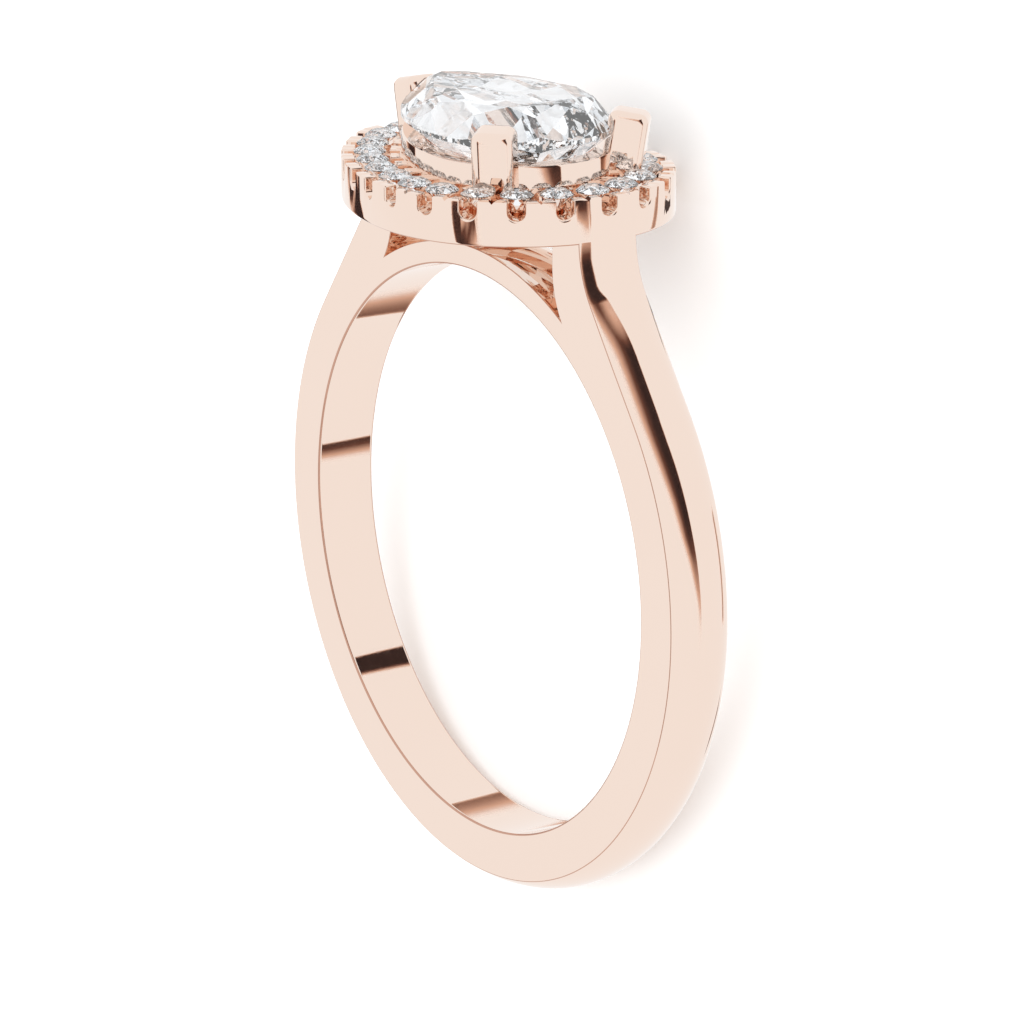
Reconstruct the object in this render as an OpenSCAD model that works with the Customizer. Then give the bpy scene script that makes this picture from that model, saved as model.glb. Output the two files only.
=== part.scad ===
// Halo ring with a pear-cut centre stone, three claws, a pave halo and cathedral arms.
// It is modelled standing, with the finger hole along Y and the stone up along Z, and is
// then laid on its side, the way such a ring comes to rest on a table. Millimetres.

/* [Finger hole and band] */
// Diameter of the finger hole
finger_d = 17.0; // [14:0.1:21]
// Width of the band along the finger
band_w = 1.95; // [1.5:0.05:3]
// Thickness of the band at its flat side faces
band_t = 1.43; // [1.1:0.01:2]
// How far the rounded outside of the band rises above the edges of the side faces
crown_rise = 0.38; // [0.2:0.01:0.6]
// Small bevel round both rims of the finger hole
rim_bevel = 0.07; // [0.03:0.01:0.12]
// Thickness of the bridge under the head, at its flat side faces
bridge_t = 0.67; // [0.5:0.01:0.9]
// Dome of the bridge between its side faces
bridge_rise = 0.12; // [0.05:0.01:0.25]

/* [Arms] */
// Angle from the head at which each arm leaves the round of the band, in degrees
arm_leave = 54; // [50:0.5:58]
// Distance from the ring's middle to each arm's outer edge at the halo
arm_out = 5.38; // [5.1:0.01:5.5]
// Thickness of each arm where it meets the halo
arm_t = 1.23; // [1:0.01:1.4]
// Radius of the hollow turn on the outside of each arm
arm_turn = 3.0; // [2.5:0.05:3.5]
// Radius of the turn on the inside of each arm
arm_in_turn = 2.8; // [2.4:0.05:3.4]
// Radius with which the arm at the round end flares out of the halo's wall
flare_r = 2.0; // [1.6:0.05:2.3]

/* [Centre stone] */
// Length of the pear-cut stone, from its point to its round end
stone_l = 8.1; // [7.6:0.05:8.6]
// Width of the pear-cut stone
stone_w = 5.44; // [5:0.02:5.9]
// Radius of the stone's point
stone_tip = 0.2; // [0.12:0.01:0.3]
// Middle of the stone's length, measured along the band from the ring's middle
stone_mid = -0.24; // [-0.4:0.01:0.1]
// Height of the stone's girdle above the middle of the finger hole, beyond its radius
stone_lift = 4.29; // [4.1:0.01:4.6]
// Thickness of the stone's girdle
girdle_t = 0.12; // [0.06:0.01:0.16]
// Height of the crown above the girdle
crown_h = 0.85; // [0.6:0.01:1]
// Depth of the pavilion under the girdle
pavilion_h = 2.2; // [1.9:0.01:2.3]
// Width of the table as a share of the stone's width
table_share = 0.71; // [0.6:0.01:0.75]
// Point that the table is drawn in about, from the round end's middle towards the stone's point
table_shift = 0.59; // [0.3:0.01:0.9]

/* [Head] */
// Thickness of the collar's wall under the stone
collar_t = 0.6; // [0.5:0.01:0.7]
// Drop from the girdle's middle to the collar's upper edge
collar_drop = 0.57; // [0.5:0.01:0.65]
// Bevel of the collar's upper outer edge
collar_bevel = 0.08; // [0.04:0.01:0.15]
// Width of each claw
claw_w = 1.18; // [0.8:0.01:1.2]
// Thickness of each claw, from its inner to its outer face
claw_t = 1.16; // [0.85:0.01:1.2]
// Height of the claw tips above the girdle's middle
claw_rise = 0.56; // [0.4:0.01:0.8]
// How far the middle of a claw's tip stands outside the girdle at the round end
claw_out = 0.48; // [0.4:0.01:0.55]
// Angle between the band's direction and each claw at the round end, in degrees
claw_angle = 47; // [40:0.5:56]
// Outward lean of the claws at the round end, in degrees
claw_lean = 8.5; // [5:0.5:11]
// Outward lean of the claw at the point, in degrees
point_lean = 12; // [8:0.5:14]
// Bevel of the claws' long edges and tips
claw_bevel = 0.28; // [0.15:0.01:0.35]

/* [Halo] */
// Gap between the bridge and the underside of the halo, at the middle
halo_gap = 1.13; // [0.9:0.01:1.4]
// Height of the halo's wall
halo_h = 1.3; // [1.15:0.01:1.5]
// Distance from the centre stone's girdle out to the halo's wall, seen from above
halo_out = 1.75; // [1.65:0.01:1.9]

/* [Halo stones] */
// Number of small stones in the halo
halo_stones = 24; // [20:1:24]
// Diameter of each small stone
small_d = 0.95; // [0.8:0.01:1]
// Distance of the row of small stones in from the halo's wall
small_inset = 0.85; // [0.8:0.01:0.9]
// Width of the U-shaped cut under each small stone
cut_w = 0.59; // [0.45:0.01:0.65]
// Depth of the U-shaped cut
cut_h = 0.59; // [0.45:0.01:0.7]
// Length of the outer beads, measured in from the halo's wall
bead_out = 0.39; // [0.3:0.01:0.45]
// Length of the inner beads, measured out from the collar
bead_in = 0.33; // [0.25:0.01:0.4]
// Depth of the channel between the outer and the inner beads
channel_h = 0.34; // [0.25:0.01:0.42]
// Diameter of the light hole under each small stone
light_d = 0.5; // [0.35:0.01:0.55]

/* [Fit] */
// Clearance round every stone
clear = 0.02; // [0.01:0.005:0.04]

/* [Hidden] */
$fn = 96;
eps = 0.01;
hair = 0.01;
big = 40;

// band
hole_r = finger_d / 2;
face_r = hole_r + band_t;
crown_r = (pow(band_w / 2, 2) + pow(crown_rise, 2)) / (2 * crown_rise);
crown_in = crown_r - crown_rise;
bridge_r = hole_r + bridge_t;
bridge_dome = (pow(band_w / 2, 2) + pow(bridge_rise, 2)) / (2 * bridge_rise);

// centre stone: a half circle, two long flanks and a small round point
round_r = stone_w / 2;
reach = stone_l - round_r;
flank_r = (pow(reach - stone_tip, 2) + pow(round_r, 2) - pow(stone_tip, 2))
    / (2 * (round_r - stone_tip));
flank_c = flank_r - round_r;
tip_c = reach - stone_tip;
tip_half = atan2(flank_c, tip_c);
head_x = stone_mid + stone_l / 2 - round_r;
girdle_z = hole_r + stone_lift;
table_z = girdle_z + girdle_t / 2 + crown_h;

// halo
halo_z = bridge_r + halo_gap;
halo_top = halo_z + halo_h;
halo_mid = halo_z + halo_h / 2;
halo_r = round_r + halo_out;
row = halo_out - small_inset;
run_round = (round_r + row) * PI / 2;
run_flank = (flank_r + row) * (90 - tip_half) * PI / 180;
run_tip = (stone_tip + row) * tip_half * PI / 180;
run_all = run_round + run_flank + run_tip;
small_r = small_d / 2;
small_girdle = 0.03 * small_d;
small_crown = 0.15 * small_d;
small_pavilion = 0.42 * small_d;
small_top = halo_top + small_girdle / 2 + small_crown;

// arms
arm_slope = 90 - arm_leave;
turn_x = arm_out + arm_turn;
arm_run = (face_r * sin(arm_leave) - turn_x + arm_turn * cos(arm_slope)) / sin(arm_slope);
turn_z = face_r * cos(arm_leave) + arm_run * cos(arm_slope) + arm_turn * sin(arm_slope);
arm_deep = 1.8 * band_t;
arm_in = arm_out - arm_t;
in_z = halo_z - 0.65 * halo_h;

// head
collar_top = girdle_z - collar_drop;
claw_top = girdle_z + claw_rise;
claw_foot = halo_z + 0.15 * halo_h;
claw_len = (claw_top - claw_foot) / cos(claw_lean);
point_len = (claw_top - claw_foot) / cos(point_lean);
pavilion_run = round_r / pavilion_h;

// how the ring lies: on the rim of the halo's wall and on the edge of the band
rest_tilt = atan((halo_r - band_w / 2) / (halo_z + face_r));
rest_lift = face_r * sin(rest_tilt) + band_w / 2 * cos(rest_tilt);
low_y = -((face_r - crown_in) * cos(rest_tilt) + crown_r);
table_ring = [for (p = gem_ring(32)) [head_x + table_share * (p[0] + table_shift) - table_shift,
    table_share * p[1]]];
high_y = max([for (p = table_ring) table_z * cos(rest_tilt) + p[1] * sin(rest_tilt)]);
rest_y = -(low_y + high_y) / 2;

gold = [0.90, 0.67, 0.56];
ice = [0.90, 0.93, 0.95];

function small_name(k) = str("halo_stone_", k < 10 ? "0" : "", k);

// Direction of the outline's normal at a distance s along the row, from the round end
function row_turn(s) =
    s < 0 ? -row_turn(-s)
    : s <= run_round ? s / (round_r + row) * 180 / PI
    : s <= run_round + run_flank
        ? 90 + (s - run_round) / (flank_r + row) * 180 / PI
    : 180 - tip_half + (s - run_round - run_flank) / (stone_tip + row) * 180 / PI;

// Point of the pear outline with normal direction a, moved out by off
function pear_point(a, off) =
    a < 0 ? [pear_point(-a, off)[0], -pear_point(-a, off)[1]]
    : a <= 90 ? [(round_r + off) * cos(a), (round_r + off) * sin(a)]
    : a <= 180 - tip_half
        ? [(flank_r + off) * cos(a), (flank_r + off) * sin(a) - flank_c]
    : [(stone_tip + off) * cos(a) - tip_c, (stone_tip + off) * sin(a)];

function row_s(k) = (k - 1) * 2 * run_all / halo_stones;
function row_a(k) = row_turn(row_s(k) > run_all + eps ? row_s(k) - 2 * run_all : row_s(k));

// n points round the centre stone's girdle, closer together at the point and the round end
function gem_ring(n) = [for (i = [0 : n - 1]) pear_point(gem_turn(i * 360 / n), 0)];
function gem_turn(t) = t > 180 ? -gem_turn(360 - t) : t - 0.1 * tip_half * sin(2 * t);

// The sector between the two flanks in which the point's own circle runs
module point_sector(h) {
    translate([-tip_c, 0, -1])
        linear_extrude(h + 2)
            polygon([[0, 0], [-big, big * tan(tip_half)], [-big, -big * tan(tip_half)]]);
}

// Block with the pear's outline, moved out by o0 at the height z0 and by o1 at z1
module pear_block(o0, o1, z0, z1) {
    h = z1 - z0;
    rounded = stone_tip + min(o0, o1) > 0;
    translate([head_x, 0, z0]) {
        intersection() {
            cylinder(r1 = round_r + o0, r2 = round_r + o1, h = h);
            translate([0, -big / 2, -1]) cube([big, big, h + 2]);
        }
        difference() {
            intersection() {
                translate([0, flank_c, 0])
                    cylinder(r1 = flank_r + o0, r2 = flank_r + o1, h = h);
                translate([0, -flank_c, 0])
                    cylinder(r1 = flank_r + o0, r2 = flank_r + o1, h = h);
                translate([-big, -big / 2, -1]) cube([big, big, h + 2]);
            }
            if (rounded) point_sector(h);
        }
        if (rounded)
            intersection() {
                translate([-tip_c, 0, 0])
                    cylinder(r1 = stone_tip + o0, r2 = stone_tip + o1, h = h);
                point_sector(h);
            }
    }
}

module pear_tube(o_out, o_in, z0, z1) {
    difference() {
        pear_block(o_out, o_out, z0, z1);
        pear_block(o_in, o_in, z0 - 1, z1 + 1);
    }
}

// Section of the band: x is the distance from the finger's axis, y runs along the finger
module band_section(deep) {
    translate([face_r - deep, -band_w / 2]) square([deep, band_w]);
    intersection() {
        translate([face_r - crown_in, 0]) circle(r = crown_r);
        translate([face_r, -band_w / 2]) square([crown_rise + 1, band_w]);
    }
}

// The same section, measured from the middle of the hollow turn on the outside of an arm
module turn_section() {
    translate([arm_turn, -band_w / 2]) square([arm_deep, band_w]);
    intersection() {
        translate([arm_turn + crown_in, 0]) circle(r = crown_r);
        translate([arm_turn - crown_rise - 1, -band_w / 2]) square([crown_rise + 1, band_w]);
    }
}

module bridge_section() {
    translate([hole_r - 0.3, -band_w / 2]) square([0.3 + bridge_t, band_w]);
    intersection() {
        translate([bridge_r + bridge_rise - bridge_dome, 0]) circle(r = bridge_dome);
        translate([bridge_r, -band_w / 2]) square([bridge_rise + 1, band_w]);
    }
}

// Each length of the arm is set back by a hair from the one before it
module arm() {
    rotate([90, 0, 0]) {
        rotate([0, 0, arm_slope]) rotate([-90, 0, 0])
            linear_extrude(arm_run) translate([-hair, 0]) band_section(arm_deep);
        translate([turn_x, turn_z, 0]) rotate([0, 0, 180])
            rotate_extrude(angle = arm_slope) translate([2 * hair, 0]) turn_section();
    }
    if (halo_mid > turn_z)
        translate([0, 0, turn_z])
            linear_extrude(halo_mid - turn_z)
                translate([turn_x - 3 * hair, 0]) mirror([1, 0]) turn_section();
}

// What the arms lose at the head: the room over the bridge and all above the halo's middle
module arm_window() {
    rotate([90, 0, 0])
        linear_extrude(2 * band_w, center = true)
            difference() {
                translate([-arm_in - arm_in_turn, in_z - 0.75 * arm_in_turn])
                    square([2 * (arm_in + arm_in_turn), big]);
                circle(r = bridge_r);
                for (s = [-1, 1]) {
                    translate([s * (arm_in + arm_in_turn), in_z]) circle(r = arm_in_turn);
                    translate([s * (arm_in + big / 2), in_z + big / 2])
                        square(big, center = true);
                }
            }
    translate([-big / 2, -big / 2, halo_mid]) cube(big);
}

// The flare that turns the arm's rounded outside into the halo's wall at the round end
module flare_cut() {
    wall = halo_r - eps;
    translate([head_x, 0, 0]) rotate([0, 0, -45])
        rotate_extrude(angle = 90) {
            intersection() {
                translate([wall + flare_r, halo_z]) circle(r = flare_r);
                translate([wall, halo_z - flare_r]) square([flare_r, flare_r]);
            }
            translate([wall, halo_z]) square([flare_r, halo_h]);
        }
}

module shank() {
    difference() {
        union() {
            difference() {
                union() {
                    rotate([90, 0, 0]) rotate([0, 0, 180 - arm_slope])
                        rotate_extrude(angle = 180 + 2 * arm_slope)
                            band_section(band_t + 0.3);
                    arm();
                    mirror([1, 0, 0]) arm();
                }
                arm_window();
                flare_cut();
            }
            rotate([90, 0, 0]) rotate([0, 0, arm_slope + 8])
                rotate_extrude(angle = 164 - 2 * arm_slope) bridge_section();
        }
        rotate([90, 0, 0]) {
            cylinder(r = hole_r, h = 2 * band_w, center = true);
            for (s = [0, 1]) mirror([0, 0, s])
                translate([0, 0, band_w / 2 - rim_bevel])
                    cylinder(r1 = hole_r, r2 = hole_r + 2 * rim_bevel, h = 2 * rim_bevel);
        }
    }
}

// Stands a shape over the row of small stones, at stone k, with X pointing outwards
module at_stone(k) {
    a = row_a(k);
    p = pear_point(a, row);
    translate([head_x + p[0], p[1], 0]) rotate([0, 0, a]) children();
}

module u_cut() {
    floor_z = halo_top - cut_h + cut_w / 2;
    translate([-row + 0.03, 0, 0]) {
        translate([0, -cut_w / 2, floor_z]) cube([halo_out + 0.2, cut_w, cut_h]);
        translate([0, 0, floor_z]) rotate([0, 90, 0])
            cylinder(d = cut_w, h = halo_out + 0.2);
    }
}

// Round seat with a cone under it and the light hole down through the halo
module seat() {
    low = halo_top - small_girdle / 2 - small_pavilion;
    translate([0, 0, halo_top - small_girdle / 2 - clear])
        cylinder(r = small_r + clear, h = small_top - halo_top + small_girdle + 3 * clear);
    translate([0, 0, low])
        cylinder(r1 = 2 * clear, r2 = small_r + clear,
            h = small_pavilion - clear);
    translate([0, 0, halo_z - 1]) cylinder(d = light_d, h = halo_h);
}

module gallery() {
    difference() {
        pear_block(halo_out, halo_out, halo_z, halo_top);
        pear_block(-0.1, -0.1, halo_z - 1, halo_top + 1);
        pear_tube(halo_out - bead_out, bead_in, halo_top - channel_h, halo_top + 1);
        for (k = [1 : halo_stones]) at_stone(k) u_cut();
    }
}

module collar() {
    difference() {
        union() {
            pear_block(0, 0, halo_z, collar_top - collar_bevel);
            pear_block(0, -collar_bevel, collar_top - collar_bevel, collar_top);
        }
        pear_block(-collar_t, -collar_t, halo_z - 1, collar_top + 1);
    }
}

// A claw that hangs down from the middle of its tip, with its outer face towards X
module claw(len) {
    t = claw_t / 2;
    w = claw_w / 2;
    b = claw_bevel;
    intersection() {
        translate([0, 0, -len])
            linear_extrude(len)
                polygon([[t, w - b], [t - b, w], [b - t, w], [-t, w - b],
                    [-t, b - w], [b - t, -w], [t - b, -w], [t, b - w]]);
        rotate([90, 0, 0])
            linear_extrude(2 * claw_w, center = true)
                polygon([[t, -len], [t, -b], [t - b, 0], [b - t, 0], [-t, -b], [-t, -len]]);
        rotate([90, 0, 90])
            linear_extrude(2 * claw_t, center = true)
                polygon([[w, -len], [w, -b], [w - b, 0], [b - w, 0], [-w, -b], [-w, -len]]);
    }
}

module claws() {
    for (s = [-1, 1])
        translate([head_x, 0, claw_top]) rotate([0, 0, s * claw_angle])
            translate([round_r + claw_out, 0, 0]) rotate([0, claw_lean, 0]) claw(claw_len);
    translate([head_x - reach, 0, claw_top]) rotate([0, 0, 180])
        rotate([0, point_lean, 0]) claw(point_len);
}

// Room for the centre stone: its girdle, its pavilion and its crown
module stone_room() {
    g0 = girdle_z - girdle_t / 2 - clear;
    g1 = girdle_z + girdle_t / 2 + clear;
    steep = flank_r - sqrt(pow(flank_c, 2) + pow(table_shift, 2));
    slope = (1 - table_share) * steep / crown_h;
    pear_block(clear, clear, g0, g1);
    pear_block(clear - 0.18 * pavilion_run, clear, g0 - 0.18, g0);
    pear_block(clear - 0.75 * pavilion_run, clear - 0.18 * pavilion_run,
        g0 - 0.75, g0 - 0.18);
    pear_block(clear, clear - 0.18 * slope, g1, g1 + 0.18);
    pear_block(clear - 0.18 * slope, clear - 0.6 * slope, g1 + 0.18, g1 + 0.6);
}

module mount_shape() {
    shank();
    difference() {
        union() {
            gallery();
            collar();
            claws();
        }
        stone_room();
        for (k = [1 : halo_stones]) at_stone(k) seat();
    }
}

// A cut stone: n girdle points, a table with half as many corners, and a point below.
// share and shift say how the table sits inside the girdle's outline.
module cut_stone(ring, share, shift, crown, girdle, pavilion, culet) {
    n = len(ring);
    m = n / 2;
    pts = concat(
        [for (i = [0 : m - 1]) [share * (ring[2 * i][0] + shift) - shift,
            share * ring[2 * i][1], girdle / 2 + crown]],
        [for (p = ring) [p[0], p[1], girdle / 2]],
        [for (p = ring) [p[0], p[1], -girdle / 2]],
        [[culet, 0, -girdle / 2 - pavilion]]);
    up = m;
    low = m + n;
    tip = m + 2 * n;
    polyhedron(pts, concat(
        [[for (i = [m - 1 : -1 : 0]) i]],
        [for (i = [0 : m - 1]) [i, (i + 1) % m, up + 2 * i + 1]],
        [for (i = [0 : m - 1]) [i, up + 2 * i + 1, up + 2 * i]],
        [for (i = [0 : m - 1]) [i, up + 2 * i, up + (2 * i + n - 1) % n]],
        [for (i = [0 : n - 1]) [up + i, up + (i + 1) % n, low + (i + 1) % n]],
        [for (i = [0 : n - 1]) [up + i, low + (i + 1) % n, low + i]],
        [for (i = [0 : n - 1]) [low + i, low + (i + 1) % n, tip]]), convexity = 2);
}

// Lays the standing ring on its side, with its lowest points on the table at Z = 0
module laid_down() {
    translate([0, rest_y, rest_lift]) rotate([rest_tilt - 90, 0, 0]) children();
}

module mount() {
    color(gold) laid_down() mount_shape();
}

module centre_stone() {
    color(ice) laid_down() translate([head_x, 0, girdle_z])
        cut_stone(gem_ring(32), table_share, table_shift, crown_h, girdle_t, pavilion_h,
            -0.05 * stone_l);
}

module halo_stone(k) {
    ring = [for (i = [0 : 15]) [small_r * cos(i * 22.5), small_r * sin(i * 22.5)]];
    color(ice) laid_down() at_stone(k) translate([0, 0, halo_top])
        cut_stone(ring, 0.56, 0, small_crown, small_girdle, small_pavilion, 0);
}

mount();
centre_stone();
for (k = [1 : halo_stones])
    halo_stone(k);
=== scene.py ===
"""Halo ring with a pear-cut stone, lying on its side on a pale table.

The pieces are modelled standing, in millimetres, with the finger hole along Y and the stone
up along Z. lay_down() then turns them onto their side, in metres, where the solids are.
"""
import math

import bmesh
import bpy
from mathutils import Matrix, Vector


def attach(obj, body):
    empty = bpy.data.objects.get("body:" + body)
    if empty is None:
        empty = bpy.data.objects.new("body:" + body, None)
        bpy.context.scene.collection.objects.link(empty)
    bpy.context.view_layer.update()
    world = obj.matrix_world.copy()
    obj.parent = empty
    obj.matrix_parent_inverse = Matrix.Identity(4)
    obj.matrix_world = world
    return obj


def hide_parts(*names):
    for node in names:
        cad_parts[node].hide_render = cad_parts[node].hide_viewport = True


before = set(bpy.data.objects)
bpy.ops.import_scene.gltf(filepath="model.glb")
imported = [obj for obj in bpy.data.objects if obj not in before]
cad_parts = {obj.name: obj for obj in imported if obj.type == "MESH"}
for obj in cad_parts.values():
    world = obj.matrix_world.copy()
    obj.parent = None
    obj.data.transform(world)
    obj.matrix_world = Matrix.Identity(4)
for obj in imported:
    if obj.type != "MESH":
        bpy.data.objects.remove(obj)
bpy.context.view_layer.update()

# Sizes, in millimetres
HOLE_R = 8.5            # finger hole
BAND_W = 1.95           # width of the band along the finger
FACE_R = 9.93           # outer edge of the band's flat side faces
CROWN_RISE = 0.38       # how far the rounded outside rises above those edges
BRIDGE_R = 9.17         # top of the bridge at its side faces
BRIDGE_RISE = 0.12
RIM_BEVEL = 0.05
EDGE_SOFT = 0.045

ARM_LEAVE = 54.0        # degrees from the head at which the arms leave the round
ARM_OUT = 5.38
ARM_T = 1.23
ARM_TURN = 3.0
ARM_IN_TURN = 2.8
MELT_Z = 7.0            # from here up the right arm's outside melts into the halo

STONE_L = 8.1
STONE_W = 5.44
STONE_TIP = 0.2
STONE_MID = -0.24
GIRDLE_Z = 12.79
GIRDLE_T = 0.12
CROWN_H = 0.85
PAVILION_H = 2.2
TABLE_SHARE = 0.71
TABLE_SHIFT = 0.59
BRIGHT_BELOW = 0.6      # depth under the girdle's middle where the bright underside begins
STAR_TILT = 23.0        # degrees, of the facets round the table
SMALL_STAR_TILT = 22.0

COLLAR_T = 0.6
COLLAR_DROP = 0.57
COLLAR_BEVEL = 0.08
CLAW_W = 1.18
CLAW_T = 1.16
CLAW_RISE = 0.56
CLAW_OUT = 0.48
CLAW_ANGLE = 47.0
CLAW_LEAN = 8.5
POINT_LEAN = 12.0
CLAW_ROUND = 0.29       # rounding of the claws' upright corners
CLAW_DOME = 0.28        # and of their tips

HALO_Z = 10.3
HALO_H = 1.3
HALO_OUT = 1.75
HALO_STONES = 24
SMALL_D = 0.95
SMALL_INSET = 0.85
SMALL_HALF_GIRDLE = 0.015   # shares of a small stone's width, down to its table
SMALL_CROWN = 0.15
SMALL_PAVILION = 0.42
SMALL_TABLE = 0.56
CUT_W = 0.50
CUT_H = 0.55
CUT_EASE = 0.07         # rounding of the cuts' rims
BEAD_EASE = 0.06
BEAD_OUT = 0.39
BEAD_IN = 0.33
NOTCH_IN = 0.12         # half widths of the notches between beads
NOTCH_OUT = 0.17
NOTCH_END = 0.05
CHANNEL_H = 0.34
LIGHT_D = 0.5
CLEAR = 0.02

# The camera, round and above the standing ring in degrees, and how far off it stands
CAMERA_AZ = 55.82
CAMERA_EL = 17.43
CAMERA_FAR = 121.9
CAMERA_AIM = (0.724, 0, 1.201)
CAMERA_LENS = 146.36

CARD_FAR = 90
LOW_CARD_FAR = 20
TABLE_TONE = 0.955
TABLE_LIFT = 0.45       # how much more of the surrounding light the table gets
SUN_STRENGTH = 0.3

# What follows from them
CROWN_R = ((BAND_W / 2) ** 2 + CROWN_RISE ** 2) / (2 * CROWN_RISE)
BRIDGE_DOME = ((BAND_W / 2) ** 2 + BRIDGE_RISE ** 2) / (2 * BRIDGE_RISE)
ROUND_R = STONE_W / 2
REACH = STONE_L - ROUND_R
FLANK_R = ((REACH - STONE_TIP) ** 2 + ROUND_R ** 2 - STONE_TIP ** 2) / (2 * (ROUND_R - STONE_TIP))
FLANK_C = FLANK_R - ROUND_R
TIP_C = REACH - STONE_TIP
TIP_HALF = math.atan2(FLANK_C, TIP_C)
HEAD_X = STONE_MID + STONE_L / 2 - ROUND_R
HALO_TOP = HALO_Z + HALO_H
HALO_MID = HALO_Z + HALO_H / 2
HALO_R = ROUND_R + HALO_OUT
ROW = HALO_OUT - SMALL_INSET
RUN_ROUND = (ROUND_R + ROW) * math.pi / 2
RUN_FLANK = (FLANK_R + ROW) * (math.pi / 2 - TIP_HALF)
RUN_ALL = RUN_ROUND + RUN_FLANK + (STONE_TIP + ROW) * TIP_HALF
COLLAR_TOP = GIRDLE_Z - COLLAR_DROP
CLAW_TOP = GIRDLE_Z + CLAW_RISE
CLAW_FOOT = HALO_Z + 0.15 * HALO_H
SLOPE = math.radians(90 - ARM_LEAVE)
LEAVE = math.radians(ARM_LEAVE)
TURN_X = ARM_OUT + ARM_TURN
ARM_RUN = (FACE_R * math.sin(LEAVE) - TURN_X + ARM_TURN * math.cos(SLOPE)) / math.sin(SLOPE)
TURN_Z = FACE_R * math.cos(LEAVE) + ARM_RUN * math.cos(SLOPE) + ARM_TURN * math.sin(SLOPE)
ARM_IN = ARM_OUT - ARM_T
IN_Z = HALO_Z - 0.65 * HALO_H

# How the ring lies, and where the table's middle is under it
REST_TILT = math.atan((HALO_R - BAND_W / 2) / (HALO_Z + FACE_R))
REST_LIFT = FACE_R * math.sin(REST_TILT) + BAND_W / 2 * math.cos(REST_TILT)
REST_Y = -1.82413

LAY = (Matrix.Translation((0, REST_Y, REST_LIFT))
       @ Matrix.Rotation(REST_TILT - math.pi / 2, 4, 'X'))
MM = Matrix.Scale(0.001, 4)


# Making pieces
def lay_down(bm, name, material, sharp=32.0, line=None):
    """Turns the standing shape onto its side, in metres, and makes it a piece of the ring. line
    is the material of the faces that were marked 1: on the metal a painted reflection along thin
    edges, on the stones their bright underside."""
    bmesh.ops.remove_doubles(bm, verts=bm.verts[:], dist=1e-4)
    bmesh.ops.recalc_face_normals(bm, faces=bm.faces[:])
    bmesh.ops.transform(bm, matrix=MM @ LAY, verts=bm.verts[:])
    mesh = bpy.data.meshes.new(name)
    bm.to_mesh(mesh)
    bm.free()
    piece = bpy.data.objects.new(name, mesh)
    bpy.context.scene.collection.objects.link(piece)
    mesh.materials.append(material)
    if line:
        mesh.materials.append(line)
    if sharp:
        mesh.shade_smooth()
        mesh.set_sharp_from_angle(angle=math.radians(sharp))
        flat = piece.modifiers.new("even_normals", 'WEIGHTED_NORMAL')
        flat.keep_sharp = True
        flat.weight = 80
    return piece


def carve(bm, tool):
    """Cuts the tool's shape out of bm, and returns the shape that is left."""
    objects = []
    for shape in (bm, tool):
        bmesh.ops.recalc_face_normals(shape, faces=shape.faces[:])
        mesh = bpy.data.meshes.new("carving")
        shape.to_mesh(mesh)
        shape.free()
        part = bpy.data.objects.new("carving", mesh)
        bpy.context.scene.collection.objects.link(part)
        objects.append(part)
    cut = objects[0].modifiers.new("cut", 'BOOLEAN')
    cut.operation = 'DIFFERENCE'
    cut.solver = 'EXACT'
    cut.use_self = True
    cut.object = objects[1]
    bpy.context.view_layer.update()
    ready = objects[0].evaluated_get(bpy.context.evaluated_depsgraph_get())
    left = bmesh.new()
    left.from_mesh(ready.to_mesh())
    ready.to_mesh_clear()
    for part in objects:
        mesh = part.data
        bpy.data.objects.remove(part)
        bpy.data.meshes.remove(mesh)
    return left


def path_arc(bm, vert, centre, axis, degrees, steps):
    """Carries a path on round a centre."""
    out = bmesh.ops.spin(bm, geom=[vert], cent=centre, axis=axis,
                         angle=math.radians(degrees), steps=steps, use_duplicate=False)
    return [g for g in out["geom_last"] if isinstance(g, bmesh.types.BMVert)][0]


def path_line(bm, vert, move):
    """Carries a path straight on."""
    new = bmesh.ops.extrude_vert_indiv(bm, verts=[vert])["verts"][0]
    new.co += Vector(move)
    return new


# The pear outline
def pear_support(a):
    """Distance of the outline's tangent from the round end's middle, for a normal at angle a."""
    a = abs(a)
    if a <= math.pi / 2:
        return ROUND_R
    if a <= math.pi - TIP_HALF:
        return FLANK_R - FLANK_C * math.sin(a)
    return STONE_TIP - TIP_C * math.cos(a)


def pear_point(a, off):
    side = -1 if a < 0 else 1
    a = abs(a)
    if a <= math.pi / 2:
        return Vector(((ROUND_R + off) * math.cos(a), side * (ROUND_R + off) * math.sin(a), 0))
    if a <= math.pi - TIP_HALF:
        return Vector(((FLANK_R + off) * math.cos(a),
                       side * ((FLANK_R + off) * math.sin(a) - FLANK_C), 0))
    return Vector(((STONE_TIP + off) * math.cos(a) - TIP_C,
                   side * (STONE_TIP + off) * math.sin(a), 0))


def row_turn(s):
    """Direction of the outline's normal at a distance s along the row of small stones."""
    if s < 0:
        return -row_turn(-s)
    if s <= RUN_ROUND:
        return s / (ROUND_R + ROW)
    if s <= RUN_ROUND + RUN_FLANK:
        return math.pi / 2 + (s - RUN_ROUND) / (FLANK_R + ROW)
    return math.pi - TIP_HALF + (s - RUN_ROUND - RUN_FLANK) / (STONE_TIP + ROW)


def stone_place(k):
    """Stands a shape over the row at small stone k, with X pointing outwards."""
    s = (k - 1) * 2 * RUN_ALL / HALO_STONES
    a = row_turn(s - 2 * RUN_ALL if s > RUN_ALL + 0.01 else s)
    p = pear_point(a, ROW)
    return Matrix.Translation((HEAD_X + p.x, p.y, 0)) @ Matrix.Rotation(a, 4, 'Z')


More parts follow.
